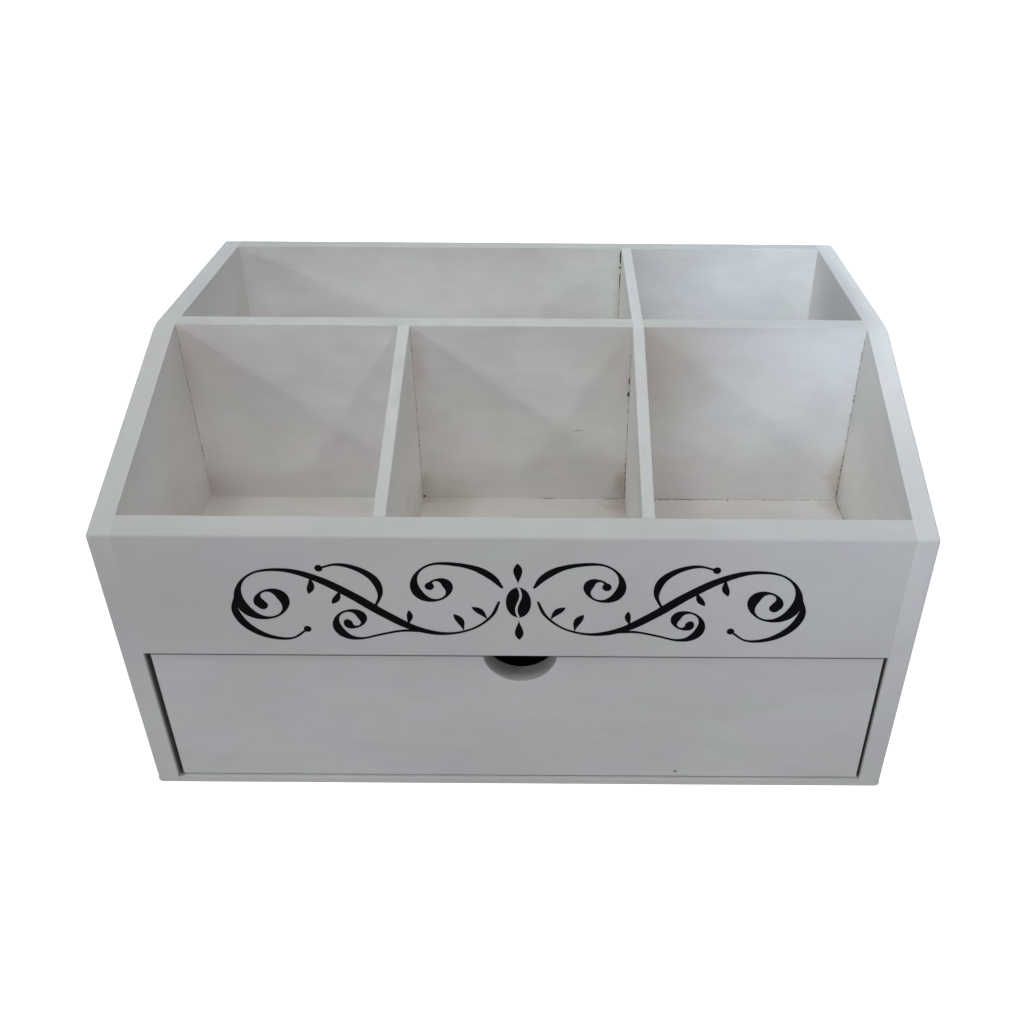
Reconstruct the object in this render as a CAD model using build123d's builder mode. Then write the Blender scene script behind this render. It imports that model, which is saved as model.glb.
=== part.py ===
from build123d import *
import os

os.makedirs("parts", exist_ok=True)

# Coffee station organizer: a wooden box with five open compartments over one drawer.
# All lengths are in millimetres. The origin is the middle of the underside,
# +X runs to the right, the front faces -Y and +Z is up.

# Outside of the box
width = 320.0
depth = 215.0
height = 174.0
front_height = 133.0
front_row_depth = 94.0

# Thickness of the boards
board = 9.0
divider = 5.0
base_thickness = 3.0

# Drawer bay, and how far the fascia hangs below the compartments' floor
bay_height = 72.0
fascia_lap = 1.0

# Drawer: its boards, and the gaps that it runs in
drawer_front_thickness = 9.0
drawer_wall = 5.0
drawer_bottom_thickness = 3.0
wall_headroom = 12.0
left_gap = 2.0
right_gap = 1.2
top_gap = 1.0
bottom_gap = 0.7
rear_gap = 0.3
drawer_recess = 1.5

# Finger notch: the lower part of a round hole, its centre just above the drawer front
notch_radius = 15.0
notch_centre_rise = 1.0
notch_shift = 1.2

# Rounding of corners and edges
knee_radius = 20.0
nose_radius = 1.2
base_corner_radius = 2.0
outer_edge_radius = 0.8
drawer_edge_radius = 0.5
inner_edge_radius = 0.3

# Halved joint where the cross divider passes the lengthwise divider
lap_share = 0.5
lap_clearance = 0.1

# Brads, set below the surface and filled over
brad_diameter = 1.2
brad_length = 20.0
short_brad_length = 15.0
brad_set = 0.8
brad_clearance = 0.04
brad_tip_gap = 0.2
end_shares = (0.2, 0.8)
tall_shares = (0.1, 0.5, 0.9)
long_shares = (0.15, 0.5, 0.85)
side_foot_shares = (0.12, 0.37, 0.63, 0.88)

# All cuts run past their piece by this much
overrun = 1.0

# Places that follow from the sizes
half_width = width / 2
inner_x = half_width - board
front_y = -depth / 2
back_y = depth / 2
fascia_back_y = front_y + board
rear_face_y = back_y - board
knee_y = fascia_back_y + front_row_depth
rear_row_y = knee_y + board
fascia_bottom = base_thickness + bay_height
floor_bottom = fascia_bottom + fascia_lap
floor_top = floor_bottom + board
slope = (height - front_height) / (knee_y - front_y)
lap_z = floor_top + lap_share * (height - floor_top)

# The two dividers part the front row into three equal compartments
compartment_width = (2 * inner_x - 2 * divider) / 3
divider_x = (compartment_width + divider) / 2

drawer_left = -inner_x + left_gap
drawer_right = inner_x - right_gap
drawer_width = drawer_right - drawer_left
drawer_x = (drawer_left + drawer_right) / 2
drawer_front_y = front_y + drawer_recess
drawer_box_y = drawer_front_y + drawer_front_thickness
drawer_back_y = rear_face_y - rear_gap
drawer_front_bottom = base_thickness + bottom_gap
drawer_front_top = fascia_bottom - top_gap
drawer_floor = base_thickness + drawer_bottom_thickness
drawer_wall_top = floor_bottom - wall_headroom

brad_hole = brad_diameter + brad_clearance
board_reach = board - brad_set
board_grip = brad_length - board_reach + brad_tip_gap
base_reach = base_thickness - brad_set
base_grip = short_brad_length - base_reach + brad_tip_gap
drawer_front_reach = drawer_front_thickness - brad_set
drawer_front_grip = brad_length - drawer_front_reach + brad_tip_gap
drawer_wall_reach = drawer_wall - brad_set
drawer_wall_grip = short_brad_length - drawer_wall_reach + brad_tip_gap
drawer_bottom_reach = drawer_bottom_thickness - brad_set
drawer_bottom_grip = short_brad_length - drawer_bottom_reach + brad_tip_gap


def slope_top(y):
    """Height of the sloping top edge at a place along the depth"""
    return front_height + slope * (y - front_y)


def spread(low, high, shares):
    """Places along a joint, one for each share of its length"""
    return [low + share * (high - low) for share in shares]


def facing_x(x):
    """Plane across the box, with Y and Z as its own axes and +X as its normal"""
    return Plane.YZ.offset(x)


def facing_y(y):
    """Plane along the box, with X and Z as its own axes and -Y as its normal"""
    return Plane.XZ.offset(-y)


def rounds(plane, places, diameter, reach, mode):
    """Round bars or holes that start on a plane, for the brads and their holes"""
    with BuildSketch(plane) as circles:
        with Locations(*places):
            Circle(diameter / 2)
    extrude(circles.sketch, amount=reach, mode=mode)


def brads(plane, places, length):
    """Brads as a group of bars in the node that is being built"""
    rounds(plane, places, brad_diameter, length, Mode.ADD)


def brad_holes(plane, places, reach):
    """Holes for brads, from a joint's face into the piece that is being built"""
    rounds(plane, places, brad_hole, reach, Mode.SUBTRACT)


def side_outline(plane, front, back, bottom):
    """Outline seen from the side: flat rear top, rounded knee and sloping front top"""
    with BuildSketch(plane) as outline:
        with BuildLine():
            Polyline(
                (front, bottom),
                (back, bottom),
                (back, height),
                (knee_y, height),
                (front, slope_top(front)),
                close=True,
            )
        make_face()
        fillet(outline.vertices().sort_by_distance((knee_y, height))[0], knee_radius)
    return outline


# Places of the brads, in the two axes of the face that they go through
fascia_y = (front_y + fascia_back_y) / 2
back_panel_y = (rear_face_y + back_y) / 2
lengthwise_y = (knee_y + rear_row_y) / 2
floor_z = (floor_bottom + floor_top) / 2
divider_heights = spread(floor_top, slope_top(fascia_back_y), end_shares)
rear_heights = spread(floor_top, height, end_shares)
drawer_heights = spread(drawer_floor, drawer_wall_top, end_shares)
floor_widths = spread(-inner_x, inner_x, long_shares)

fascia_ends = [(fascia_y, z) for z in spread(fascia_bottom, front_height, end_shares)]
back_ends = [(back_panel_y, z) for z in spread(base_thickness, height, tall_shares)]
lengthwise_ends = [(lengthwise_y, z) for z in rear_heights]
floor_ends = [(y, floor_z) for y in spread(fascia_back_y, rear_face_y, end_shares)]
side_places = fascia_ends + back_ends + lengthwise_ends + floor_ends

front_floor_places = [(x, floor_z) for x in floor_widths]
front_divider_places = [(-divider_x, z) for z in divider_heights]
front_cross_places = [(divider_x, z) for z in divider_heights]
fascia_places = front_floor_places + front_divider_places + front_cross_places
rear_cross_places = [(divider_x, z) for z in rear_heights]
back_places = front_floor_places + rear_cross_places
lengthwise_places = [(-divider_x, z) for z in rear_heights]

foot_x = (half_width + inner_x) / 2
left_foot_places = [(-foot_x, y) for y in spread(front_y, back_y, side_foot_shares)]
right_foot_places = [(foot_x, y) for y in spread(front_y, back_y, side_foot_shares)]
back_foot_places = [(x, back_panel_y) for x in floor_widths]
base_places = left_foot_places + right_foot_places + back_foot_places

drawer_left_wall_x = drawer_left + drawer_wall / 2
drawer_right_wall_x = drawer_right - drawer_wall / 2
drawer_back_wall_y = drawer_back_y - drawer_wall / 2
drawer_lengths = spread(drawer_box_y, drawer_back_y, long_shares)
drawer_widths = spread(drawer_left, drawer_right, long_shares)
drawer_left_front_places = [(drawer_left_wall_x, z) for z in drawer_heights]
drawer_right_front_places = [(drawer_right_wall_x, z) for z in drawer_heights]
drawer_front_places = drawer_left_front_places + drawer_right_front_places
drawer_back_ends = [(drawer_back_wall_y, z) for z in drawer_heights]
drawer_left_bottom_places = [(drawer_left_wall_x, y) for y in drawer_lengths]
drawer_right_bottom_places = [(drawer_right_wall_x, y) for y in drawer_lengths]
drawer_back_bottom_places = [(x, drawer_back_wall_y) for x in drawer_widths]
drawer_bottom_places = (
    drawer_left_bottom_places + drawer_right_bottom_places + drawer_back_bottom_places
)

# Left side: five-cornered board with a soft nose where the slope meets the front
with BuildPart() as left_side:
    outline = side_outline(facing_x(-half_width), front_y, back_y, base_thickness)
    extrude(outline.sketch, amount=board)
    across = left_side.edges().filter_by(Axis.X)
    fillet(across.sort_by_distance((-half_width, front_y, front_height))[0], nose_radius)
    fillet(across.sort_by_distance((-half_width, back_y, height))[0], nose_radius)
    outer_face = left_side.faces().sort_by(Axis.X)[0]
    fillet(outer_face.edges().sort_by(Axis.Z)[1:], outer_edge_radius)
    brad_holes(facing_x(-inner_x), side_places, -board_reach)
    brad_holes(Plane.XY.offset(base_thickness), left_foot_places, base_grip)
left_side.part.label = "left_side"
export_step(left_side.part, "parts/left_side.step")

# Right side: the left one's mirror image
with BuildPart() as right_side:
    mirror(left_side.part, about=Plane.YZ)
right_side.part.label = "right_side"
export_step(right_side.part, "parts/right_side.step")

# Fascia over the drawer, its top bevelled along the slope
with BuildPart() as front_fascia:
    with BuildSketch(facing_x(-inner_x)):
        with BuildLine():
            Polyline(
                (front_y, fascia_bottom),
                (fascia_back_y, fascia_bottom),
                (fascia_back_y, slope_top(fascia_back_y)),
                (front_y, front_height),
                close=True,
            )
        make_face()
    extrude(amount=2 * inner_x)
    lengthwise_edges = front_fascia.edges().filter_by(Axis.X)
    fillet(lengthwise_edges.sort_by_distance((0, front_y, front_height))[0], nose_radius)
    fillet(lengthwise_edges.sort_by_distance((0, front_y, fascia_bottom))[0], inner_edge_radius)
    fillet(lengthwise_edges.sort_by(Axis.Z)[-1], inner_edge_radius)
    brad_holes(facing_x(-inner_x), fascia_ends, board_grip)
    brad_holes(facing_x(inner_x), fascia_ends, -board_grip)
    brad_holes(facing_y(fascia_back_y), fascia_places, board_reach)
front_fascia.part.label = "front_fascia"
export_step(front_fascia.part, "parts/front_fascia.step")

# Back panel, full height between the sides
with BuildPart() as back_panel:
    with BuildSketch(facing_x(-inner_x)):
        with BuildLine():
            Polyline(
                (rear_face_y, base_thickness),
                (back_y, base_thickness),
                (back_y, height),
                (rear_face_y, height),
                close=True,
            )
        make_face()
    extrude(amount=2 * inner_x)
    lengthwise_edges = back_panel.edges().filter_by(Axis.X)
    fillet(lengthwise_edges.sort_by_distance((0, back_y, height))[0], nose_radius)
    fillet(lengthwise_edges.sort_by_distance((0, rear_face_y, height))[0], inner_edge_radius)
    brad_holes(facing_x(-inner_x), back_ends, board_grip)
    brad_holes(facing_x(inner_x), back_ends, -board_grip)
    brad_holes(facing_y(rear_face_y), back_places, -board_reach)
    brad_holes(Plane.XY.offset(base_thickness), back_foot_places, base_grip)
back_panel.part.label = "back_panel"
export_step(back_panel.part, "parts/back_panel.step")

# Lengthwise divider, slotted from above for the cross divider
with BuildPart() as lengthwise_divider:
    with BuildSketch(facing_x(-inner_x)):
        with BuildLine():
            Polyline(
                (knee_y, floor_top),
                (rear_row_y, floor_top),
                (rear_row_y, height),
                (knee_y, height),
                close=True,
            )
        make_face()
    extrude(amount=2 * inner_x)
    top_edges = lengthwise_divider.edges().filter_by(Axis.X).group_by(Axis.Z)[-1]
    fillet(top_edges, inner_edge_radius)
    with BuildSketch(facing_y(rear_row_y)):
        with Locations((divider_x, lap_z - lap_clearance)):
            slot_width = divider + lap_clearance
            slot_height = height - lap_z + lap_clearance + overrun
            Rectangle(slot_width, slot_height, align=(Align.CENTER, Align.MIN))
    extrude(amount=board, mode=Mode.SUBTRACT)
    brad_holes(facing_x(-inner_x), lengthwise_ends, board_grip)
    brad_holes(facing_x(inner_x), lengthwise_ends, -board_grip)
    brad_holes(facing_y(knee_y), lengthwise_places, -board_reach)
lengthwise_divider.part.label = "lengthwise_divider"
export_step(lengthwise_divider.part, "parts/lengthwise_divider.step")

# Cross divider, from the fascia to the back, slotted from below
with BuildPart() as cross_divider:
    left_face = facing_x(divider_x - divider / 2)
    outline = side_outline(left_face, fascia_back_y, rear_face_y, floor_top)
    extrude(outline.sketch, amount=divider)
    top_faces = cross_divider.faces().filter_by(lambda face: face.normal_at().Z > 0)
    top_edges = top_faces.edges().filter_by(lambda edge: abs(edge.tangent_at(0).X) == 0)
    fillet(top_edges, inner_edge_radius)
    with BuildSketch(left_face):
        with Locations((lengthwise_y, floor_top - overrun)):
            slot_width = board + lap_clearance
            Rectangle(slot_width, lap_z - floor_top + overrun, align=(Align.CENTER, Align.MIN))
    extrude(amount=divider, mode=Mode.SUBTRACT)
    brad_holes(facing_y(fascia_back_y), front_cross_places, -board_grip)
    brad_holes(facing_y(rear_face_y), rear_cross_places, board_grip)
cross_divider.part.label = "cross_divider"
export_step(cross_divider.part, "parts/cross_divider.step")

# Front divider, in the front row only
with BuildPart() as front_divider:
    with BuildSketch(facing_x(-divider_x - divider / 2)):
        with BuildLine():
            Polyline(
                (fascia_back_y, floor_top),
                (knee_y, floor_top),
                (knee_y, height),
                (fascia_back_y, slope_top(fascia_back_y)),
                close=True,
            )
        make_face()
    extrude(amount=divider)
    sloping_face = front_divider.faces().sort_by(Axis.Z)[-1]
    sloping_edges = sloping_face.edges().filter_by(Axis.X, reverse=True)
    fillet(sloping_edges, inner_edge_radius)
    brad_holes(facing_y(fascia_back_y), front_divider_places, -board_grip)
    brad_holes(facing_y(knee_y), lengthwise_places, board_grip)
front_divider.part.label = "front_divider"
export_step(front_divider.part, "parts/front_divider.step")

# Floor of the compartments, which is also the roof of the drawer bay
with BuildPart() as compartment_floor:
    with BuildSketch(Plane.XY.offset(floor_bottom)):
        with BuildLine():
            Polyline(
                (-inner_x, fascia_back_y),
                (inner_x, fascia_back_y),
                (inner_x, rear_face_y),
                (-inner_x, rear_face_y),
                close=True,
            )
        make_face()
    extrude(amount=board)
    brad_holes(facing_x(-inner_x), floor_ends, board_grip)
    brad_holes(facing_x(inner_x), floor_ends, -board_grip)
    brad_holes(facing_y(fascia_back_y), front_floor_places, -board_grip)
    brad_holes(facing_y(rear_face_y), front_floor_places, board_grip)
compartment_floor.part.label = "compartment_floor"
export_step(compartment_floor.part, "parts/compartment_floor.step")

# Base board under the whole box, with soft lower corners at both ends
with BuildPart() as base_board:
    with BuildSketch(facing_y(back_y)) as base_section:
        with BuildLine():
            Polyline(
                (-half_width, 0),
                (half_width, 0),
                (half_width, base_thickness),
                (-half_width, base_thickness),
                close=True,
            )
        make_face()
        fillet(base_section.vertices().group_by(Axis.Y)[0], base_corner_radius)
    extrude(amount=depth)
    brad_holes(Plane.XY.offset(base_thickness), base_places, -base_reach)
base_board.part.label = "base_board"
export_step(base_board.part, "parts/base_board.step")

# Brads of the carcass
with BuildPart() as left_side_brads:
    brads(facing_x(-half_width + brad_set), side_places, brad_length)
left_side_brads.part.label = "left_side_brads"
export_step(left_side_brads.part, "parts/left_side_brads.step")

with BuildPart() as right_side_brads:
    brads(facing_x(half_width - brad_set), side_places, -brad_length)
right_side_brads.part.label = "right_side_brads"
export_step(right_side_brads.part, "parts/right_side_brads.step")

with BuildPart() as base_brads:
    brads(Plane.XY.offset(brad_set), base_places, short_brad_length)
base_brads.part.label = "base_brads"
export_step(base_brads.part, "parts/base_brads.step")

with BuildPart() as fascia_brads:
    brads(facing_y(front_y + brad_set), fascia_places, -brad_length)
fascia_brads.part.label = "fascia_brads"
export_step(fascia_brads.part, "parts/fascia_brads.step")

with BuildPart() as back_brads:
    brads(facing_y(back_y - brad_set), back_places, brad_length)
back_brads.part.label = "back_brads"
export_step(back_brads.part, "parts/back_brads.step")

with BuildPart() as divider_brads:
    brads(facing_y(rear_row_y - brad_set), lengthwise_places, brad_length)
divider_brads.part.label = "divider_brads"
export_step(divider_brads.part, "parts/divider_brads.step")

# Drawer front with its half-round finger notch
with BuildPart() as drawer_front:
    with BuildSketch(facing_y(drawer_box_y)):
        with BuildLine():
            Polyline(
                (drawer_left, drawer_front_bottom),
                (drawer_right, drawer_front_bottom),
                (drawer_right, drawer_front_top),
                (drawer_left, drawer_front_top),
                close=True,
            )
        make_face()
        with Locations((drawer_x + notch_shift, drawer_front_top + notch_centre_rise)):
            Circle(notch_radius, mode=Mode.SUBTRACT)
    extrude(amount=drawer_front_thickness)
    fillet(drawer_front.faces().sort_by(Axis.Y)[0].edges(), drawer_edge_radius)
    brad_holes(facing_y(drawer_box_y), drawer_front_places, drawer_front_reach)
drawer_front.part.label = "drawer_front"
export_step(drawer_front.part, "parts/drawer_front.step")

# Drawer sides, which stand on the edge of the drawer's bottom
with BuildPart() as drawer_left_side:
    with BuildSketch(facing_x(drawer_left)):
        with BuildLine():
            Polyline(
                (drawer_box_y, drawer_floor),
                (drawer_back_y, drawer_floor),
                (drawer_back_y, drawer_wall_top),
                (drawer_box_y, drawer_wall_top),
                close=True,
            )
        make_face()
    extrude(amount=drawer_wall)
    top_edges = drawer_left_side.edges().filter_by(Axis.Y).group_by(Axis.Z)[-1]
    fillet(top_edges, inner_edge_radius)
    brad_holes(facing_y(drawer_box_y), drawer_left_front_places, -drawer_front_grip)
    brad_holes(facing_x(drawer_left + drawer_wall), drawer_back_ends, -drawer_wall_reach)
    brad_holes(Plane.XY.offset(drawer_floor), drawer_left_bottom_places, drawer_bottom_grip)
drawer_left_side.part.label = "drawer_left_side"
export_step(drawer_left_side.part, "parts/drawer_left_side.step")

with BuildPart() as drawer_right_side:
    mirror(drawer_left_side.part, about=facing_x(drawer_x))
drawer_right_side.part.label = "drawer_right_side"
export_step(drawer_right_side.part, "parts/drawer_right_side.step")

# Drawer back, between the drawer's sides
with BuildPart() as drawer_back:
    with BuildSketch(facing_x(drawer_left + drawer_wall)):
        with BuildLine():
            Polyline(
                (drawer_back_y - drawer_wall, drawer_floor),
                (drawer_back_y, drawer_floor),
                (drawer_back_y, drawer_wall_top),
                (drawer_back_y - drawer_wall, drawer_wall_top),
                close=True,
            )
        make_face()
    extrude(amount=drawer_width - 2 * drawer_wall)
    top_edges = drawer_back.edges().filter_by(Axis.X).group_by(Axis.Z)[-1]
    fillet(top_edges, inner_edge_radius)
    brad_holes(facing_x(drawer_left + drawer_wall), drawer_back_ends, drawer_wall_grip)
    brad_holes(facing_x(drawer_right - drawer_wall), drawer_back_ends, -drawer_wall_grip)
    brad_holes(Plane.XY.offset(drawer_floor), drawer_back_bottom_places, drawer_bottom_grip)
drawer_back.part.label = "drawer_back"
export_step(drawer_back.part, "parts/drawer_back.step")

# Drawer bottom, which slides on the base board
with BuildPart() as drawer_bottom:
    with BuildSketch(Plane.XY.offset(base_thickness)):
        with BuildLine():
            Polyline(
                (drawer_left, drawer_box_y),
                (drawer_right, drawer_box_y),
                (drawer_right, drawer_back_y),
                (drawer_left, drawer_back_y),
                close=True,
            )
        make_face()
    extrude(amount=drawer_bottom_thickness)
    brad_holes(Plane.XY.offset(drawer_floor), drawer_bottom_places, -drawer_bottom_reach)
drawer_bottom.part.label = "drawer_bottom"
export_step(drawer_bottom.part, "parts/drawer_bottom.step")

# Brads of the drawer
with BuildPart() as drawer_front_brads:
    brads(facing_y(drawer_front_y + brad_set), drawer_front_places, -brad_length)
drawer_front_brads.part.label = "drawer_front_brads"
export_step(drawer_front_brads.part, "parts/drawer_front_brads.step")

with BuildPart() as drawer_back_brads:
    brads(facing_x(drawer_left + brad_set), drawer_back_ends, short_brad_length)
    brads(facing_x(drawer_right - brad_set), drawer_back_ends, -short_brad_length)
drawer_back_brads.part.label = "drawer_back_brads"
export_step(drawer_back_brads.part, "parts/drawer_back_brads.step")

with BuildPart() as drawer_bottom_brads:
    drawer_brad_foot = base_thickness + brad_set
    brads(Plane.XY.offset(drawer_brad_foot), drawer_bottom_places, short_brad_length)
drawer_bottom_brads.part.label = "drawer_bottom_brads"
export_step(drawer_bottom_brads.part, "parts/drawer_bottom_brads.step")
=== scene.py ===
import math
import random

import bmesh
import bpy
from mathutils import Matrix, Vector
from mathutils.geometry import delaunay_2d_cdt


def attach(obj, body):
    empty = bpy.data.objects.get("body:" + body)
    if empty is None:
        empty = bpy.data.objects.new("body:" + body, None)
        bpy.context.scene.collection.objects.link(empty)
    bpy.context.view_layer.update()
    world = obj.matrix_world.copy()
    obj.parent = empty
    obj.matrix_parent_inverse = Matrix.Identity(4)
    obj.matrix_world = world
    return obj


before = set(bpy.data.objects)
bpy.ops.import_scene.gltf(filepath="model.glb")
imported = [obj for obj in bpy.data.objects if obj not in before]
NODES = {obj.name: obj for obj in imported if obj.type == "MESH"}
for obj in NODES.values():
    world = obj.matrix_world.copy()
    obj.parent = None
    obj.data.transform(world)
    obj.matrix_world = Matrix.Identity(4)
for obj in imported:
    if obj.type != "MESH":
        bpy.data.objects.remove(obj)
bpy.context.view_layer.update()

MM = 0.001
CARCASS = "carcass"
DRAWER = "drawer"
X, Y, Z = 0, 1, 2
WHITE = (1, 1, 1, 1)
BLACK = (0, 0, 0, 1)


def millimetres(*values):
    """Lengths in millimetres as a vector in metres"""
    return Vector(value * MM for value in values)


# ---- camera: in front, a little right of the middle, looking down

CAMERA_PLACE = millimetres(17.4, -418.0, 349.0)
CAMERA_PITCH = math.radians(33.32)
CAMERA_ROLL = math.radians(0.36)
CAMERA_LENS = 35.61
CAMERA_SHIFT = -0.0467
CAMERA_NEAR = 0.01


def make_camera():
    data = bpy.data.cameras.new("camera")
    data.lens = CAMERA_LENS
    data.shift_x = CAMERA_SHIFT
    data.clip_start = CAMERA_NEAR
    camera = bpy.data.objects.new("camera", data)
    look_down = Matrix.Rotation(math.pi / 2 - CAMERA_PITCH, 4, "X")
    roll = Matrix.Rotation(CAMERA_ROLL, 4, "Z")
    camera.matrix_world = Matrix.Translation(CAMERA_PLACE) @ look_down @ roll
    bpy.context.scene.collection.objects.link(camera)
    bpy.context.scene.camera = camera


# ---- light: a pale dome, soft panels, two far lamps and narrow beams, fitted to the shading in the
# photograph

# How far each lamp stands from the place it points at, and these places, in metres
LAMP_REACH = 1.3
BOX_MIDDLE = (0, 0, 0.1)
RIGHT_KNEE = (0.165, 0, 0.168)
REAR_WALL = (0.135, 0.098, 0.16)
MIDDLE_WALL = (0.147, -0.0045, 0.138)
RIGHT_EDGE = (0.19, -0.107, 0.1)
# Each panel: azimuth and elevation in degrees (azimuth 0 is the front, 90 the right), width, power
# and colour
PANELS = {
    "high_left": (315, 65, 0.22, 1.482, (0.980, 1.000, 0.985)),
    "high_front": (15, 65, 0.22, 1.287, (1.000, 0.997, 0.960)),
    "high_right": (90, 52, 0.09, 0.546, (1.000, 0.830, 0.780)),
    "front": (345, 35, 0.22, 0.351, (0.650, 0.760, 1.000)),
    "behind": (180, 50, 0.30, 5.362, (0.790, 0.915, 1.000)),
}
# Far lamps, whose edges of shadow stay crisp: azimuth, elevation, strength and colour
FAR_LAMPS = {
    "key_left": (304, 22, 0.322, (0.880, 1.000, 0.972)),
    "key_right": (28, 20, 0.180, (0.970, 0.990, 1.000)),
}
FAR_WIDTH = math.radians(4.4)
# Each beam: azimuth, elevation, where it points, its cone, its softness, its power and its colour
BEAMS = {
    "beam_left": (290, 26, REAR_WALL, 9.0, 0.12, 9.555, (1.000, 0.860, 0.740)),
    "beam_knee": (0, 15, RIGHT_KNEE, 8.0, 0.12, 11.2, (0.530, 0.800, 1.000)),
    "beam_rear": (0, 38, REAR_WALL, 8.0, 0.045, 15.8, (0.657, 0.817, 1.000)),
    "beam_edge": (340, 4, RIGHT_EDGE, 16.0, 0.12, 3.802, (0.680, 0.900, 1.000)),
    "beam_corner": (20, 30, REAR_WALL, 8.0, 0.045, 4.388, (0.500, 0.810, 1.000)),
    "beam_middle": (0, 32, MIDDLE_WALL, 8.0, 0.045, 10.6, (0.700, 0.800, 1.000)),
}
BEAM_BLEND = 1.0
# The dome: pale above and in front, black behind. Its tones meet softly between these two values
# of a direction's Z, and between these two of its Y
DOME_TOP = (0.179, 0.179, 0.179, 1)
DOME_FRONT = (0.160, 0.156, 0.157, 1)
DOME_RISE = (0.45, 0.55)
DOME_TURN = (-0.05, 0.05)


def aim(lamp, azimuth, elevation, target):
    """Places a lamp that only lights, and turns it to its target"""
    turn, rise = math.radians(azimuth), math.radians(elevation)
    level = math.cos(rise)
    outward = Vector((level * math.sin(turn), -level * math.cos(turn), math.sin(rise)))
    lamp.location = Vector(target) + outward * LAMP_REACH
    lamp.rotation_euler = (-outward).to_track_quat("-Z", "Y").to_euler()
    lamp.visible_camera = False
    bpy.context.scene.collection.objects.link(lamp)


def make_lamps():
    for name, (azimuth, elevation, width, power, colour) in PANELS.items():
        data = bpy.data.lights.new(name, "AREA")
        data.shape = "SQUARE"
        data.size = width
        data.energy, data.color = power, colour
        aim(bpy.data.objects.new(name, data), azimuth, elevation, BOX_MIDDLE)
    for name, (azimuth, elevation, strength, colour) in FAR_LAMPS.items():
        data = bpy.data.lights.new(name, "SUN")
        data.angle = FAR_WIDTH
        data.energy, data.color = strength, colour
        aim(bpy.data.objects.new(name, data), azimuth, elevation, BOX_MIDDLE)
    for name, (azimuth, elevation, target, cone, softness, power, colour) in BEAMS.items():
        data = bpy.data.lights.new(name, "SPOT")
        data.spot_size = math.radians(cone)
        data.spot_blend = BEAM_BLEND
        data.shadow_soft_size = softness
        data.energy, data.color = power, colour
        aim(bpy.data.objects.new(name, data), azimuth, elevation, target)


def make_dome():
    """Light from all round, which nothing shows but the shading"""
    world = bpy.data.worlds.new("world")
    world.use_nodes = True
    tree = world.node_tree
    split = tree.nodes.new("ShaderNodeSeparateXYZ")
    tree.links.new(tree.nodes.new("ShaderNodeTexCoord").outputs["Generated"], split.inputs[0])

    def step(axis, low, high):
        node = tree.nodes.new("ShaderNodeMapRange")
        tree.links.new(split.outputs[axis], node.inputs["Value"])
        node.inputs["From Min"].default_value = low
        node.inputs["From Max"].default_value = high
        return node.outputs[0]

    def mix(factor, first, second):
        node = tree.nodes.new("ShaderNodeMix")
        node.data_type = "RGBA"
        tree.links.new(factor, node.inputs["Factor"])
        for socket, value in zip(node.inputs[6:8], (first, second)):
            if isinstance(value, tuple):
                socket.default_value = value
            else:
                tree.links.new(value, socket)
        return node.outputs[2]

    around = mix(step("Y", *DOME_TURN), DOME_FRONT, BLACK)
    colour = mix(step("Z", *DOME_RISE), around, DOME_TOP)
    tree.links.new(colour, tree.nodes["Background"].inputs["Color"])
    bpy.context.scene.world = world


# ---- floor and backdrop: the camera sees a white floor under a white tent, and a plane below them
# gives the light that a pale floor throws back on the box

STAGE_HALF = 8.0
FLOOR_PALE = (0.9, 0.9, 0.9, 1)
FLOOR_GLOW = 0.95
FLOOR_BOUNCE = (0.350, 0.338, 0.368, 1)
BOUNCE_DROP = 0.001
CAMERA_ONLY = ("diffuse", "glossy", "transmission", "shadow")


def stage_sheet(name, corners, faces, base, glow_colour, glow):
    """A sheet that isn't part of the object, with an even colour and glow"""
    mesh = bpy.data.meshes.new(name)
    mesh.from_pydata(corners, [], faces)
    sheet = bpy.data.objects.new(name, mesh)
    bpy.context.scene.collection.objects.link(sheet)
    material = bpy.data.materials.new(name)
    material.use_nodes = True
    shader = material.node_tree.nodes["Principled BSDF"]
    shader.inputs["Base Color"].default_value = base
    shader.inputs["Specular IOR Level"].default_value = 0.0
    shader.inputs["Emission Color"].default_value = glow_colour
    shader.inputs["Emission Strength"].default_value = glow
    mesh.materials.append(material)
    return sheet


def stage_square(level):
    corners = ((-1, -1), (1, -1), (1, 1), (-1, 1))
    return [(x * STAGE_HALF, y * STAGE_HALF, level) for x, y in corners]


def make_stage():
    """A white floor and tent that only the camera sees, and the plane that gives light"""
    ground, high, low = stage_square(0), stage_square(STAGE_HALF), stage_square(-BOUNCE_DROP)
    square = [(0, 1, 2, 3)]
    walls = [(i, (i + 1) % 4, (i + 1) % 4 + 4, i + 4) for i in range(4)]
    lid = [(4, 5, 6, 7)]
    floor = stage_sheet("floor", ground, square, FLOOR_PALE, WHITE, FLOOR_GLOW)
    tent = stage_sheet("tent", ground + high, walls + lid, BLACK, WHITE, 1.0)
    bounce = stage_sheet("floor_bounce", low, square, BLACK, FLOOR_BOUNCE, 1.0)
    for sheet in (floor, tent):
        for ray in CAMERA_ONLY:
            setattr(sheet, "visible_" + ray, False)
    bounce.visible_camera = False


# ---- materials


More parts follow.
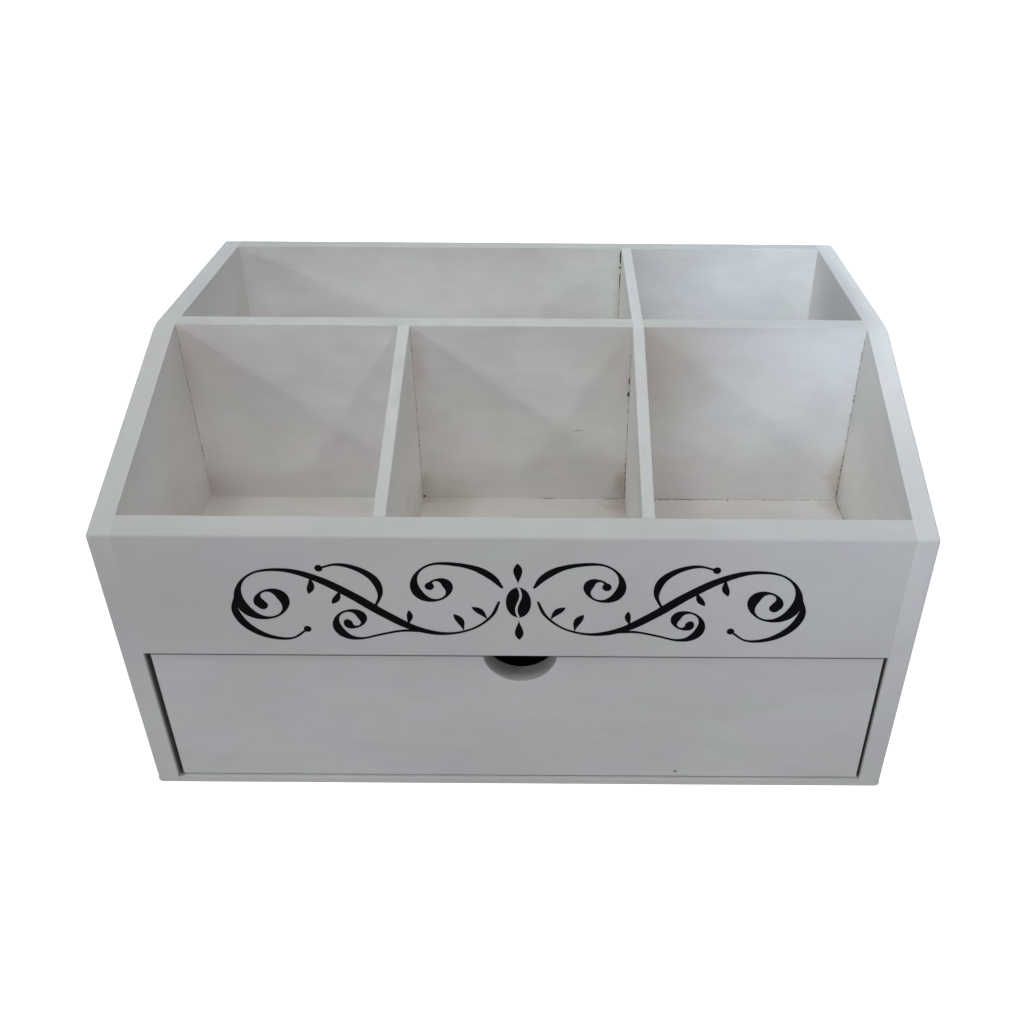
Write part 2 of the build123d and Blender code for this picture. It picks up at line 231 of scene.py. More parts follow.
class Graph:
    """The node tree of one material, with a short call for each kind of node it uses"""

    def __init__(self, name):
        self.material = bpy.data.materials.new(name)
        self.material.use_nodes = True
        self.tree = self.material.node_tree
        self.shader = self.tree.nodes["Principled BSDF"]
        self.place = self.tree.nodes.new("ShaderNodeTexCoord").outputs["Object"]
        self.axes = None

    def feed(self, socket, value):
        if isinstance(value, bpy.types.NodeSocket):
            self.tree.links.new(value, socket)
        else:
            socket.default_value = value

    def math(self, operation, *values, clamp=False):
        node = self.tree.nodes.new("ShaderNodeMath")
        node.operation = operation
        node.use_clamp = clamp
        for socket, value in zip(node.inputs, values):
            self.feed(socket, value)
        return node.outputs[0]

    def coordinate(self, axis):
        if self.axes is None:
            split = self.tree.nodes.new("ShaderNodeSeparateXYZ")
            self.feed(split.inputs[0], self.place)
            self.axes = split.outputs
        return self.axes[axis]

    def stretched(self, along, length, breadth, seed):
        """Object coordinates in cells of so many millimetres, moved aside by the seed"""
        mapping = self.tree.nodes.new("ShaderNodeMapping")
        self.feed(mapping.inputs["Vector"], self.place)
        mapping.inputs["Location"].default_value = (seed * 3.17, seed * 5.31, seed * 7.73)
        scale = [1 / (breadth * MM)] * 3
        scale[along] = 1 / (length * MM)
        mapping.inputs["Scale"].default_value = scale
        return mapping.outputs[0]

    def noise(self, along, length, breadth, seed, detail=2.0, roughness=0.5, distortion=0.0):
        node = self.tree.nodes.new("ShaderNodeTexNoise")
        self.feed(node.inputs["Vector"], self.stretched(along, length, breadth, seed))
        node.inputs["Scale"].default_value = 1.0
        node.inputs["Detail"].default_value = detail
        node.inputs["Roughness"].default_value = roughness
        node.inputs["Distortion"].default_value = distortion
        return node.outputs["Fac"]

    def ramp(self, value, low, high, start=0.0, end=1.0):
        """Smooth step of a value from low to high, spread from start to end"""
        node = self.tree.nodes.new("ShaderNodeMapRange")
        node.interpolation_type = "SMOOTHSTEP"
        for name, number in (("Value", value), ("From Min", low), ("From Max", high),
                             ("To Min", start), ("To Max", end)):
            self.feed(node.inputs[name], number)
        return node.outputs[0]

    def blend(self, factor, first, second):
        node = self.tree.nodes.new("ShaderNodeMix")
        node.data_type = "RGBA"
        self.feed(node.inputs["Factor"], factor)
        for socket, value in zip(node.inputs[6:8], (first, second)):
            self.feed(socket, value)
        return node.outputs[2]

    def within(self, low, high):
        """1 inside a box of millimetres, 0 outside; None leaves a side open"""
        mask = 1.0
        for axis in range(3):
            for limit, operation in ((low[axis], "GREATER_THAN"), (high[axis], "LESS_THAN")):
                if limit is not None:
                    test = self.math(operation, self.coordinate(axis), limit * MM)
                    mask = self.math("MULTIPLY", mask, test)
        return mask

    def facing_up(self):
        """1 on faces that look up, 0 elsewhere"""
        split = self.tree.nodes.new("ShaderNodeSeparateXYZ")
        self.feed(split.inputs[0], self.tree.nodes.new("ShaderNodeTexCoord").outputs["Normal"])
        return self.ramp(split.outputs[Z], *UPWARD)

    def bump(self, height, strength, distance):
        node = self.tree.nodes.new("ShaderNodeBump")
        node.inputs["Strength"].default_value = strength
        node.inputs["Distance"].default_value = distance * MM
        self.feed(node.inputs["Height"], height)
        self.feed(self.shader.inputs["Normal"], node.outputs[0])

    def finish(self, colour, roughness):
        """Sends colour and roughness to the shader"""
        self.feed(self.shader.inputs["Base Color"], colour)
        self.feed(self.shader.inputs["Roughness"], roughness)
        return self.material


# How far a face looks up, from where it counts as a top edge to where it does in full
UPWARD = (0.6, 0.85)
PAINT = (0.868, 0.857, 0.848)
PAINT_LILAC = (0.880, 0.850, 0.868)
PAINT_SAGE = (0.850, 0.870, 0.838)
PAINT_THIN = (0.70, 0.685, 0.675, 1)
PAINT_INSIDE = (0.83, 0.74, 0.64, 1)
# Painted shade laid unevenly on faces that look up
PAINT_TOP_SHADE = (0.70, 0.70, 0.68, 1)
PORE = (0.42, 0.36, 0.30, 1)
RAW_WOOD = (0.60, 0.44, 0.28, 1)
RAW_GRAIN = (0.40, 0.26, 0.15, 1)
# Painted shade deep in the drawer's gaps and its notch
PAINTED_GAP_SHADE = (0.055, 0.046, 0.038, 1)
STAIN = (0.52, 0.40, 0.24, 1)
# Painted shade: a pink tone in the shaded left corners of the back walls
PINK_SHADE = (0.80, 0.60, 0.62, 1)
# Painted shade: a warm tone where shade falls on the back walls and the compartment floors
WARM_SHADE = (0.72, 0.63, 0.55, 1)
# Painted shade: a grey tone laid on the front's left end, the stiles, inner walls and a top
GREY_SHADE = (0.62, 0.62, 0.62, 1)
STEEL_DARK = (0.5, 0.5, 0.51, 1)
STEEL_BRIGHT = (0.6, 0.6, 0.61, 1)
TRANSFER_DARK = (0.0022, 0.0020, 0.0034, 1)
TRANSFER_DUSTY = (0.0060, 0.0055, 0.0080, 1)
# The clouds and the tints run on from board to board, so all boards share their seeds
CLOUD_SEED = 40
TINT_SEED = 41
# Boxes in millimetres: the drawer's bay, the compartments, and the drawer front's inner face
BAY = ((-151.1, -98.0, 2.9), (151.1, 98.6, 76.1))
INSIDE = ((-151.2, -98.7, 84.9), (151.2, 98.7, None))
BEHIND_FRONT = ((None, -97.05, None), (None, None, None))
# The heights between which the colour gets darker and warmer down inside the compartments, and by
# how much
INSIDE_DARKENING_HEIGHTS = (150.0, 88.0)
INSIDE_DARKENING_MOST = 0.22
# Painted shade deep in the gaps and the finger notch: a box, the depths between which it changes,
# and its strengths at the two
MOUTH_SHADE = (((-151.1, -107.6, 3.1), (151.1, -97.0, 75.1)), (-107.5, -104.6), (0.0, 0.83))
FOOT_SHADE = (((-151.1, -107.0, 2.9), (-148.8, -97.0, 9.0)), (-107.0, -103.5), (0.30, 0.80))
RIM_SHADE = (((None, -106.2, 73.2), (None, -104.8, None)), (-105.9, -104.8), (0.80, 0.0))
NOTCH_SHADE = (((-14.0, -105.9, 58.9), (17.2, -97.1, 74.1)), (-106.0, -97.0), (0.30, 0.50))
# How far the rim of a stain or patch of painted shade wanders, in millimetres, and at most as a
# share of its reach
PATCH_SWAY = 6.0
PATCH_SWAY_MOST = 0.5


def raw_wood(graph, along, seed):
    """Colour of bare wood with its grain, and the fibre by itself"""
    figure = graph.noise(along, 90, 7, seed + 11, 3.0, 0.55, 0.6)
    fibre = graph.noise(along, 16, 0.7, seed + 12, 2.0)
    broad, fine = graph.ramp(figure, 0.4, 0.66, 0.0, 0.7), graph.ramp(fibre, 0.42, 0.7, 0.0, 0.4)
    grain = graph.math("MULTIPLY", graph.math("ADD", broad, fine), 0.8, clamp=True)
    return graph.blend(grain, RAW_WOOD, RAW_GRAIN), fibre


def add_stain_or_shade(graph, colour, uneven, stain_or_shade):
    """A soft stain, or painted shade: middle and reach along each axis in millimetres, strength and
    colour
    """
    middle, reach, strength, shade = stain_or_shade
    mapping = graph.tree.nodes.new("ShaderNodeMapping")
    graph.feed(mapping.inputs["Vector"], graph.place)
    mapping.inputs["Scale"].default_value = [1 / (r * MM) for r in reach]
    mapping.inputs["Location"].default_value = [-m / r for m, r in zip(middle, reach)]
    distance = graph.tree.nodes.new("ShaderNodeVectorMath")
    distance.operation = "LENGTH"
    graph.feed(distance.inputs[0], mapping.outputs[0])
    sway = min(PATCH_SWAY_MOST, PATCH_SWAY / max(reach))
    away = graph.math("ADD", distance.outputs["Value"], graph.ramp(uneven, 0.3, 0.7, -sway, sway))
    return graph.blend(graph.ramp(away, 1.2, 0.1, 0.0, strength), colour, shade)


def painted_wood(name, along, seed, painted_lightness, grain, mottle, top_shade, bare, shaded_gaps, stains_and_shade):
    """Thin white wash, brushed along the grain, darker and warmer low down inside the compartments
    """
    graph = Graph(name)
    streak = graph.noise(along, 52, 4.6, seed, 3.0, 0.6, 0.4)
    fibre = graph.noise(along, 14, 1.1, seed + 1, 2.0, 0.6)
    pore = graph.noise(along, 9, 0.45, seed + 3, 1.0)
    dab = graph.noise(along, 15, 10, seed + 4, 3.0, 0.6)
    cloud = graph.noise(along, 62, 34, CLOUD_SEED, 3.0, 0.55)
    tint = graph.noise(along, 34, 26, TINT_SEED, 3.0, 0.55)
    # The board's painted lightness scales its paint: painted light and shade, lighter on some
    # boards and darker on others
    paint, lilac, sage = ((*(channel * painted_lightness for channel in shade), 1)
                          for shade in (PAINT, PAINT_LILAC, PAINT_SAGE))
    colour = graph.blend(graph.ramp(tint, 0.50, 0.68), paint, lilac)
    colour = graph.blend(graph.ramp(tint, 0.50, 0.34), colour, sage)
    thin = 0.0
    layers = (
        (streak, 0.38, 0.75, 0.11 * grain), (fibre, 0.40, 0.78, 0.06 * grain),
        (dab, 0.35, 0.72, 0.10 * mottle), (cloud, 0.36, 0.70, 0.24 * mottle),
    )
    for layer, low, high, share in layers:
        thin = graph.math("ADD", thin, graph.ramp(layer, low, high, 0.0, share))
    colour = graph.blend(thin, colour, PAINT_THIN)
    upper, lower = INSIDE_DARKENING_HEIGHTS
    depth = graph.ramp(graph.coordinate(Z), upper * MM, lower * MM, 0.0, INSIDE_DARKENING_MOST)
    depth = graph.math("MULTIPLY", depth, graph.ramp(cloud, 0.25, 0.70, 0.5, 1.3))
    colour = graph.blend(graph.math("MULTIPLY", graph.within(*INSIDE), depth), colour, PAINT_INSIDE)
    colour = graph.blend(graph.ramp(pore, 0.72, 0.84, 0.0, 0.16 * grain), colour, PORE)
    # Painted shade: faces that look up are darkened, unevenly across them
    if top_shade:
        top_shade_share = graph.ramp(dab, 0.25, 0.75, 0.7 * top_shade, 1.3 * top_shade)
        colour = graph.blend(graph.math("MULTIPLY", graph.facing_up(), top_shade_share), colour, PAINT_TOP_SHADE)
    for stain_or_shade in stains_and_shade:
        colour = add_stain_or_shade(graph, colour, dab, stain_or_shade)
    if bare:
        wood, _ = raw_wood(graph, along, seed)
    for low, high in bare:
        colour = graph.blend(graph.within(low, high), colour, wood)
    # Painted shade: darker the deeper it lies in the drawer's gaps and its notch
    for box, (shallow, deep), (least, most) in shaded_gaps:
        strength = graph.ramp(graph.coordinate(Y), shallow * MM, deep * MM, least, most)
        colour = graph.blend(graph.math("MULTIPLY", graph.within(*box), strength), colour, PAINTED_GAP_SHADE)
    brushed = graph.math("ADD", graph.math("MULTIPLY", fibre, 0.5), streak)
    graph.bump(brushed, 0.25, 0.10)
    return graph.finish(colour, graph.ramp(streak, 0.3, 0.75, 0.50, 0.66))


def plywood(name, along, seed, thin_axis, start, thickness):
    """Bare plywood, with its plies in stripes along the edges"""
    graph = Graph(name)
    wood, fibre = raw_wood(graph, along, seed)
    depth = graph.math("SUBTRACT", graph.coordinate(thin_axis), start * MM)
    layer = graph.math("MULTIPLY", depth, PLIES / (thickness * MM))
    parity = graph.math("PINGPONG", graph.math("FLOOR", layer), 1.0)
    band = graph.math("MULTIPLY", parity, PLY_CONTRAST)
    graph.bump(fibre, 0.3, 0.1)
    return graph.finish(graph.blend(band, wood, RAW_GRAIN), graph.ramp(fibre, 0.3, 0.8, 0.6, 0.8))


def brad_steel():
    """Bright steel with fine scratches along the brad"""
    graph = Graph("brad_steel")
    graph.shader.inputs["Metallic"].default_value = 1.0
    scratch = graph.noise(Z, 2.0, 0.2, 3, 2.0)
    return graph.finish(graph.blend(scratch, STEEL_DARK, STEEL_BRIGHT),
                        graph.ramp(scratch, 0.3, 0.7, 0.28, 0.42))


def transfer_black():
    """Thin matt black transfer: nearly even, with a little dust and wear"""
    graph = Graph("ornament_black")
    graph.shader.inputs["Specular IOR Level"].default_value = 0.10
    dust = graph.noise(X, 14, 9, 21, 3.0)
    return graph.finish(graph.blend(graph.ramp(dust, 0.35, 0.75), TRANSFER_DARK, TRANSFER_DUSTY),
                        graph.ramp(dust, 0.3, 0.75, 0.58, 0.74))


# Stains, and patches of painted shade, on a board: middle, reach, strength and colour. The grey,
# warm and pink patches are painted shade, the brown ones stains
STAINS_AND_SHADE = {
    "left_side": (
        # grey painted shade on the stile and on the inner wall at the rear
        ((-155, -107.5, 95), (10, 10, 40), 0.35, GREY_SHADE),
        ((-151, 50, 145), (8, 70, 50), 0.27, GREY_SHADE),
    ),
    "right_side": (
        # grey painted shade on the inner wall at the rear and low on the stile
        ((151, 45, 150), (8, 75, 55), 1.0, GREY_SHADE),
        ((155, -107.5, 25), (12, 8, 45), 0.25, GREY_SHADE),
    ),
    # grey painted shade on the front's left end
    "front_fascia": (((-151, -107.5, 105), (110, 6, 60), 0.28, GREY_SHADE),),
    "back_panel": (((48.6, 98.5, 150), (4, 6, 17), 0.30, STAIN),),
    "lengthwise_divider": (
        # warm painted shade in the upper left of two back walls
        ((60, -4.5, 155), (34, 6, 42), 0.66, WARM_SHADE),
        ((-140, -4.5, 158), (26, 6, 34), 0.22, WARM_SHADE),
        # grey painted shade along the top
        ((100, 0, 174), (75, 20, 4), 0.32, GREY_SHADE),
        ((48, -4.5, 93), (5, 6, 12), 0.42, STAIN),
        ((150, -4.5, 97), (7, 6, 17), 0.38, STAIN),
        ((-47, -4.5, 94), (6, 6, 10), 0.30, STAIN),
        # pink painted shade in the left corners
        ((-47, -4.5, 157), (5, 6, 20), 0.36, PINK_SHADE),
        ((-148, -4.5, 158), (6, 6, 18), 0.30, PINK_SHADE),
        ((-148, -4.5, 92), (8, 6, 9), 0.28, PINK_SHADE),
    ),
    "compartment_floor": (
        # warm painted shade on the compartment floors
        ((100, -50, 85), (55, 60, 6), 0.36, WARM_SHADE),
        ((0, -50, 85), (45, 60, 6), 0.14, WARM_SHADE),
        ((48, -8, 85), (10, 10, 8), 0.40, STAIN),
        ((150, -12, 85), (9, 16, 8), 0.30, STAIN),
        ((-46, -7, 85), (8, 6, 8), 0.30, STAIN),
    ),
}
# Each painted board: the axis of its grain, its painted lightness (painted light and shade), how
# strong the grain and the mottling are, how much painted shade darkens its faces that look up,
# where it is bare and where painted shade darkens its gaps. The order gives each board its seed.
PAINTED = {
    "left_side": (Y, 1.01, 0.5, 1.0, 0.15, (BAY,), (MOUTH_SHADE,)),
    "right_side": (Y, 1.075, 0.5, 1.0, 0.0, (BAY,), (MOUTH_SHADE,)),
    "front_fascia": (X, 0.965, 0.5, 1.0, 0.4, (BAY,), ()),
    "back_panel": (X, 1.09, 0.8, 1.5, 1.0, (BAY,), ()),
    "lengthwise_divider": (X, 1.09, 0.7, 1.5, 0.68, (), ()),
    "cross_divider": (Y, 1.02, 0.6, 1.0, 0.0, (), ()),
    "front_divider": (Y, 1.12, 0.6, 1.0, 0.42, (), ()),
    "compartment_floor": (X, 1.14, 0.7, 1.0, 0.0, (BAY,), ()),
    "base_board": (X, 1.0, 0.6, 1.0, 0.0, (BAY,), (FOOT_SHADE,)),
    "drawer_front": (X, 1.01, 0.7, 1.1, 0.0, (BEHIND_FRONT,), (RIM_SHADE, NOTCH_SHADE)),
}
PLIES = 3
PLY_CONTRAST = 0.55
# Each plywood board: the axis of its grain, the axis of its thickness, where it starts on that, and
# its thickness
PLYWOOD = {
    "drawer_left_side": (Y, X, -149.0, 5.0),
    "drawer_right_side": (Y, X, 144.8, 5.0),
    "drawer_back": (X, Y, 93.2, 5.0),
    "drawer_bottom": (X, Z, 3.0, 3.0),
}
PAINTED_SEED = 1
PLYWOOD_SEED = 21


def give(thing, material):
    thing.data.materials.clear()
    thing.data.materials.append(material)


def dress_nodes():
    """Gives every CAD node its material"""
    steel = brad_steel()
    for seed, (name, (along, *marks)) in enumerate(PAINTED.items(), PAINTED_SEED):
        stains_and_shade = STAINS_AND_SHADE.get(name, ())
        give(NODES[name], painted_wood("painted_" + name, along, seed, *marks, stains_and_shade))
    for seed, (name, (along, *edges)) in enumerate(PLYWOOD.items(), PLYWOOD_SEED):
        give(NODES[name], plywood("plywood_" + name, along, seed, *edges))
    for name, node in NODES.items():
        if name.endswith("_brads"):
            give(node, steel)


# ---- ornament: a pen-drawn scroll on the fascia, the right half mirrored to the left

FASCIA_FACE = -107.5
ORNAMENT_CENTRE = (1.5, 102.0)
ORNAMENT_PROUD = 0.12
ORNAMENT_SUNK = 0.05
NIB_THIN = 0.85
NIB_THICK = 3.7
NIB_SLANT = math.radians(62)
NIB_CONTRAST = 1.3
CURVE_STEPS = 8
DISC_CORNERS = 20
LEAF_STEPS = 14
BEAN_ROWS = 24
BEAN_LEAST = 0.02
# How near two points of the outlines are when they are one
MERGE = 1e-4


def curl(centre, radius, inner, start, sweep, count):
    """Points of a spiral that closes in from one radius to another"""
    points = []
    for step in range(count):
        share = step / (count - 1)
        angle = math.radians(start + sweep * share)
        reach = radius * (inner / radius) ** share
        points.append((centre[0] + reach * math.cos(angle), centre[1] + reach * math.sin(angle)))
    return points


def smooth(points):
    """A centripetal Catmull-Rom curve through the points"""
    points = [Vector(point) for point in points]
    points = [2 * points[0] - points[1]] + points + [2 * points[-1] - points[-2]]
    line = []
    for near in range(1, len(points) - 2):
        p = points[near - 1:near + 3]
        t = [0.0]
        for a, b in zip(p, p[1:]):
            t.append(t[-1] + math.sqrt((b - a).length))
        for step in range(CURVE_STEPS):
            at = t[1] + (t[2] - t[1]) * step / CURVE_STEPS
            a = [p[i].lerp(p[i + 1], (at - t[i]) / (t[i + 1] - t[i])) for i in range(3)]
            b = [a[i].lerp(a[i + 1], (at - t[i]) / (t[i + 2] - t[i])) for i in range(2)]
            line.append(b[0].lerp(b[1], (at - t[1]) / (t[2] - t[1])))
    return line + [points[-2]]


def pen_stroke(points, weight, lead_in, lead_out):
    """Quads of a stroke that is thick where the pen runs across its nib, and thin at its ends"""
    line = smooth(points)
    lengths = [0.0]
    for a, b in zip(line, line[1:]):
        lengths.append(lengths[-1] + (b - a).length)
    rims = []
    for index, point in enumerate(line):
        ahead = line[min(index + 1, len(line) - 1)] - line[max(index - 1, 0)]
        ahead.normalize()
        swell = abs(math.cos(math.atan2(ahead.y, ahead.x) - NIB_SLANT)) ** (2 * NIB_CONTRAST)
        share = lengths[index] / lengths[-1]
        fade = 1.0
        if lead_in and share < lead_in:
            fade = math.sin(math.pi / 2 * share / lead_in)
        if lead_out and share > 1 - lead_out:
            fade = min(fade, math.sin(math.pi / 2 * (1 - share) / lead_out))
        half = (NIB_THIN + (NIB_THICK * weight - NIB_THIN) * swell * fade) / 2
        across = Vector((-ahead.y, ahead.x)) * half
        rims.append((point + across, point - across))
    return [[a, c, d, b] for (a, b), (c, d) in zip(rims, rims[1:])]


def disc(centre, radius):
    angles = [2 * math.pi / DISC_CORNERS * k for k in range(DISC_CORNERS)]
    return [[Vector((centre[0] + radius * math.cos(angle), centre[1] + radius * math.sin(angle)))
             for angle in angles]]


def leaf(root, tip, breadth, bend=0.0):
    """A drop that is pointed at its root and fuller near its tip"""
    root, tip = Vector(root), Vector(tip)
    ahead = (tip - root).normalized()
    across = Vector((-ahead.y, ahead.x))
    rims = []
    for step in range(LEAF_STEPS + 1):
        share = step / LEAF_STEPS
        half = breadth / 2 * math.sin(math.pi * share ** 1.5) ** 0.9
        middle = root.lerp(tip, share) + across * bend * math.sin(math.pi * share)
        rims.append((middle + across * half, middle - across * half))
    return [[a, c, d, b] for (a, b), (c, d) in zip(rims, rims[1:])]


def bean(centre, half_width, half_height, slit, sway):
    """A coffee bean: an ellipse parted by a curved slit"""
    levels = []
    for row in range(BEAN_ROWS + 1):
        angle = math.pi * row / BEAN_ROWS
        height = -math.cos(angle)
        levels.append((centre[1] + height * half_height, math.sin(angle) * half_width,
                       sway * math.sin(math.pi * height)))
    quads = []
    for (z0, w0, m0), (z1, w1, m1) in zip(levels, levels[1:]):
        for side in (-1, 1):
            edges = []
            for width, middle in ((w0, m0), (w1, m1)):
                outer = side * width
                inner = middle + side * slit / 2
                edges.append((inner if side * (outer - inner) > 0 else outer, outer))
            if any(abs(outer - inner) > BEAN_LEAST for inner, outer in edges):
                (i0, o0), (i1, o1) = edges
                corners = ((i0, z0), (o0, z0), (o1, z1), (i1, z1))
                quads.append([Vector((centre[0] + x, z)) for x, z in corners])
    return quads


# Each stroke: its points, its weight, where it swells and fades, and the ball at its end
STROKES = (
    # great scroll to the outer end
    ([(7.5, 1.0), (10.5, -6.0), (18, -12.6), (29, -15.4), (41, -12.8), (53, -5.4), (65, 3.8),
      (77, 11.4), (87, 15.2)] + curl((97.6, 0.8), 15.0, 3.3, 98, -500, 22),
     1.2, 0.10, 0.0, 2.1),
    # upper scroll near the middle
    ([(6.0, 7.6), (9.6, 12.4), (15.2, 16.4), (22.5, 18.6)]
     + curl((31.6, 7.8), 11.2, 2.7, 90, -440, 18),
     1.05, 0.16, 0.0, 1.8),
    # lower scroll that springs from the great one
    ([(36, -14.4), (46, -14.0), (55, -16.0)] + curl((65.4, -9.2), 9.3, 2.4, -108, 450, 18),
     1.0, 0.22, 0.0, 1.6),
    # branch over the great one
    ([(56.5, -2.8), (53.6, 4.5), (55.2, 11.2), (61, 16.2), (69, 18.4), (76.0, 16.6)],
     0.85, 0.35, 0.1, 1.55),
    # tail under the outer spiral
    ([(109.4, 4.6), (111.3, -3.2), (108.3, -11.0), (100.5, -17.0), (90.8, -18.2), (84.0, -13.4)],
     0.9, 0.25, 0.12, 1.5),
)
LEAVES = (
    ((22.0, -14.3), (25.6, -5.4), 3.0, 1.0), ((12.2, -8.5), (18.4, -1.8), 2.7, 0.9),
    ((44.2, -11.2), (43.0, -3.6), 2.4, 0.6), ((69.0, 6.8), (72.8, -0.6), 2.6, -0.7),
    ((80.0, 13.0), (81.4, 4.2), 2.8, -0.8),
)
MIDDLE_LEAVES = (((0, 9.6), (0, 19.4), 3.4), ((0, -8.6), (0, -18.4), 3.4))


def ornament_outlines():
    """The outlines of both halves and of the middle, as flat points in millimetres"""
    half = []
    for points, weight, lead_in, lead_out, ball in STROKES:
        half += pen_stroke(points, weight, lead_in, lead_out)
        half += disc(points[-1], ball)
    for each in LEAVES:
        half += leaf(*each)
    mirrored = [[Vector((-p.x, p.y)) for p in reversed(outline)] for outline in half]
    middle = bean((0, 0.5), 4.9, 7.4, 1.0, 0.9)
    for each in MIDDLE_LEAVES:
        middle += leaf(*each)
    return half + mirrored + middle


def add_plate(bm, outlines, place):
    """Joins flat outlines into one thin plate. place turns a flat point, and a level of 0 for the
    lower face or 1 for the upper one, into a point in space"""
    points, faces = [], []
    for outline in outlines:
        faces.append(list(range(len(points), len(points) + len(outline))))
        points += outline
    # 1 asks for triangles inside the outlines only
    flat, _, triangles, *_ = delaunay_2d_cdt(points, [], faces, 1, MERGE)
    lower = [bm.verts.new(place(p, 0)) for p in flat]
    upper = [bm.verts.new(place(p, 1)) for p in flat]
    sides = [(a, b) for t in triangles for a, b in zip(t, t[1:] + t[:1])]
    inner = set(sides)
    for triangle in triangles:
        bm.faces.new([upper[i] for i in triangle])
        bm.faces.new([lower[i] for i in reversed(triangle)])
    for a, b in sides:
        if (b, a) not in inner:
            bm.faces.new([upper[b], upper[a], lower[a], lower[b]])
    for vert in [v for v in lower + upper if not v.link_faces]:
        bm.verts.remove(vert)


def finish_piece(name, bm, material, body):
    """Turns a bmesh into a piece that rides on a body"""
    bmesh.ops.recalc_face_normals(bm, faces=bm.faces)
    mesh = bpy.data.meshes.new(name)
    bm.to_mesh(mesh)
    bm.free()
    piece = bpy.data.objects.new(name, mesh)
    bpy.context.scene.collection.objects.link(piece)
    give(piece, material)
    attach(piece, body)


def make_ornament():
    """A plate that is sunk a little into the fascia and stands a little proud of it"""
    levels = (FASCIA_FACE + ORNAMENT_SUNK, FASCIA_FACE - ORNAMENT_PROUD)

    def place(point, level):
        across, up = ORNAMENT_CENTRE
        return millimetres(across + point.x, levels[level], up + point.y)

    bm = bmesh.new()
    add_plate(bm, ornament_outlines(), place)
    finish_piece("fascia_ornament", bm, transfer_black(), CARCASS)


# ---- gap lines: joints that the paint hasn't closed, a scratch and a speck, as ragged marks a hair
# thick

MARK_SUNK = 0.03
MARK_PROUD = 0.03
MARK_STEP = 0.7
# A mark starts and ends at this share of its breadth, and broadens by so much over its whole length
MARK_TIP = 0.35
MARK_TAPER = 2.5
MARK_SEED = 7
# How ragged each shade is: the least and greatest share of a mark's breadth
MARK_RAGGED = {"dark": (0.55, 1.15), "brown": (0.05, 1.25), "soft": (0.0, 1.2)}
# Each line: where it starts, its direction, the direction in which its breadth lies, the way that
# its face looks, and its marks: where each begins and ends along it, and how broad it is
GAP_LINES = {
    "dark": (
        ((48.667, 98.5, 173.0), (0, 0, -1), (-1, 0, 0), (0, -1, 0),
         ((0.0, 8.0, 0.95), (8.6, 10.0, 1.2), (12.0, 21.0, 0.6))),
        ((48.667, -4.5, 172.5), (0, 0, -1), (-1, 0, 0), (0, -1, 0),
         ((12.0, 12.8, 0.5), (23.2, 26.2, 1.05), (29.8, 32.6, 1.1), (39.4, 40.6, 0.5))),
        ((-48.667, -4.5, 86.5), (0, 0, -1), (1, 0, 0), (0, -1, 0), ((0.0, 1.1, 1.7),)),
    ),
    "brown": (
        ((48.667, 98.5, 152.0), (0, 0, -1), (-1, 0, 0), (0, -1, 0), ((0.0, 22.0, 0.4),)),
        ((48.667, -4.5, 112.0), (0, 0, -1), (-1, 0, 0), (0, -1, 0), ((0.0, 26.5, 0.5),)),
        ((-48.667, -4.5, 173.0), (0, 0, -1), (1, 0, 0), (0, -1, 0), ((0.0, 13.0, 0.5),)),
        ((151.0, -4.5, 112.0), (0, 0, -1), (-1, 0, 0), (0, -1, 0), ((0.0, 26.5, 0.65),)),
        ((7.0, -4.5, 85.0), (1, 0, 0), (0, -1, 0), (0, 0, 1),
         ((0.0, 10.5, 0.5), (31.5, 41.0, 0.5))),
        ((52.5, -4.5, 85.0), (1, 0, 0), (0, -1, 0), (0, 0, 1),
         ((0.0, 44.0, 0.75), (45.2, 46.6, 1.3), (48.0, 98.0, 0.4))),
        ((151.0, -5.0, 85.0), (0, -1, 0), (-1, 0, 0), (0, 0, 1), ((0.0, 20.0, 0.6),)),
        ((22.8, -4.5, 122.2), (1, 0, 0), (0, 0, 1), (0, -1, 0), ((0.0, 5.4, 0.40),)),
    ),
    "soft": (
        ((48.667, -4.5, 160.0), (0, 0, -1), (-1, 0, 0), (0, -1, 0), ((0.0, 47.0, 0.40),)),
        ((-48.667, -4.5, 160.0), (0, 0, -1), (1, 0, 0), (0, -1, 0), ((0.0, 73.0, 0.36),)),
        ((151.0, -4.5, 171.5), (0, 0, -1), (-1, 0, 0), (0, -1, 0), ((0.0, 59.0, 0.62),)),
        ((-151.0, -4.5, 172.5), (0, 0, -1), (1, 0, 0), (0, -1, 0), ((0.0, 86.0, 0.36),)),
        ((17.5, -4.5, 85.0), (1, 0, 0), (0, -1, 0), (0, 0, 1), ((0.0, 14.0, 0.35),)),
    ),
}
DRAWER_SPECKS = (((68.2, -106.0, 6.6), (1, 0, 0), (0, 0, 1), (0, -1, 0), ((0.0, 1.9, 0.95),)),)
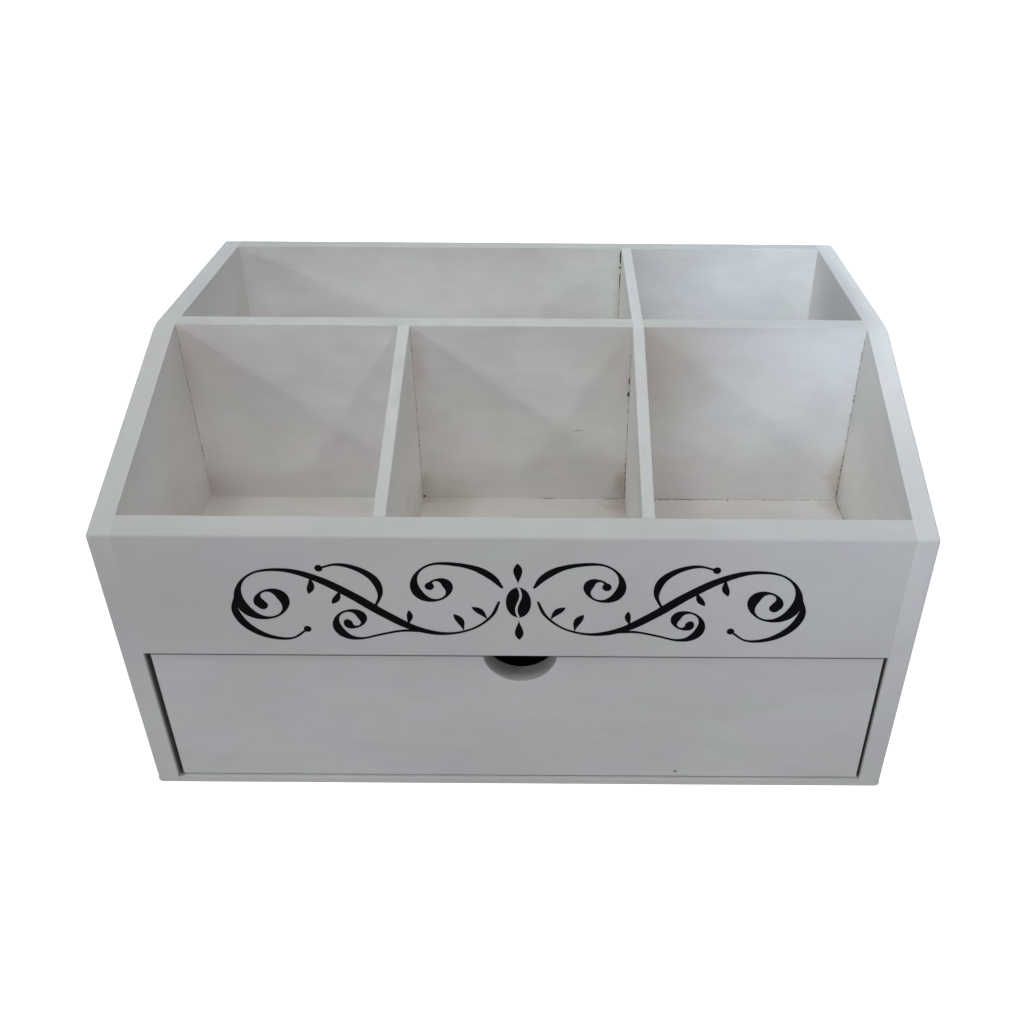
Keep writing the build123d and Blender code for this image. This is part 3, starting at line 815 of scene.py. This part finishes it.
# Each shade's two tones, between which it varies along the joint
GAP_SHADES = {
    "dark": ((0.020, 0.022, 0.016, 1), (0.10, 0.09, 0.06, 1)),
    "brown": ((0.20, 0.15, 0.10, 1), (0.46, 0.38, 0.30, 1)),
    "soft": ((0.36, 0.31, 0.26, 1), (0.58, 0.52, 0.46, 1)),
}


def add_marks(bm, lines, ragged, rng):
    """Adds a plate with one straight and one ragged edge for each mark"""
    for start, along, across, outward, marks in lines:
        start, along, across, outward = (Vector(v) for v in (start, along, across, outward))

        def place(point, level):
            lift = MARK_PROUD if level else -MARK_SUNK
            return millimetres(*(start + along * point.x + across * point.y + outward * lift))

        for begin, end, breadth in marks:
            count = max(3, round((end - begin) / MARK_STEP) + 1)
            edge = []
            for step in range(count):
                share = step / (count - 1)
                taper = min(1.0, MARK_TIP + MARK_TAPER * min(share, 1 - share))
                width = breadth * taper * rng.uniform(*ragged)
                edge.append(Vector((begin + (end - begin) * share, width)))
            foot = [Vector((point.x, 0.0)) for point in edge]
            quads = [[foot[k], foot[k + 1], edge[k + 1], edge[k]] for k in range(count - 1)]
            add_plate(bm, quads, place)


def gap_shade(name, deep, worn):
    """Shadow and raw wood deep in a joint, uneven along it"""
    graph = Graph(name)
    graph.shader.inputs["Specular IOR Level"].default_value = 0.2
    uneven = graph.noise(Z, 5, 5, 31, 2.0)
    return graph.finish(graph.blend(graph.ramp(uneven, 0.35, 0.68), deep, worn),
                        graph.ramp(uneven, 0.3, 0.7, 0.75, 0.9))


def make_gap_lines():
    rng = random.Random(MARK_SEED)
    for shade, lines in GAP_LINES.items():
        bm = bmesh.new()
        add_marks(bm, lines, MARK_RAGGED[shade], rng)
        finish_piece("joint_gaps_" + shade, bm, gap_shade("gap_" + shade, *GAP_SHADES[shade]),
                     CARCASS)
    bm = bmesh.new()
    add_marks(bm, DRAWER_SPECKS, MARK_RAGGED["dark"], rng)
    finish_piece("drawer_speck", bm, gap_shade("speck_brown", *GAP_SHADES["brown"]),
                 DRAWER)


bpy.context.scene.view_settings.view_transform = "Standard"
make_camera()
make_lamps()
make_dome()
make_stage()
dress_nodes()
make_ornament()
make_gap_lines()
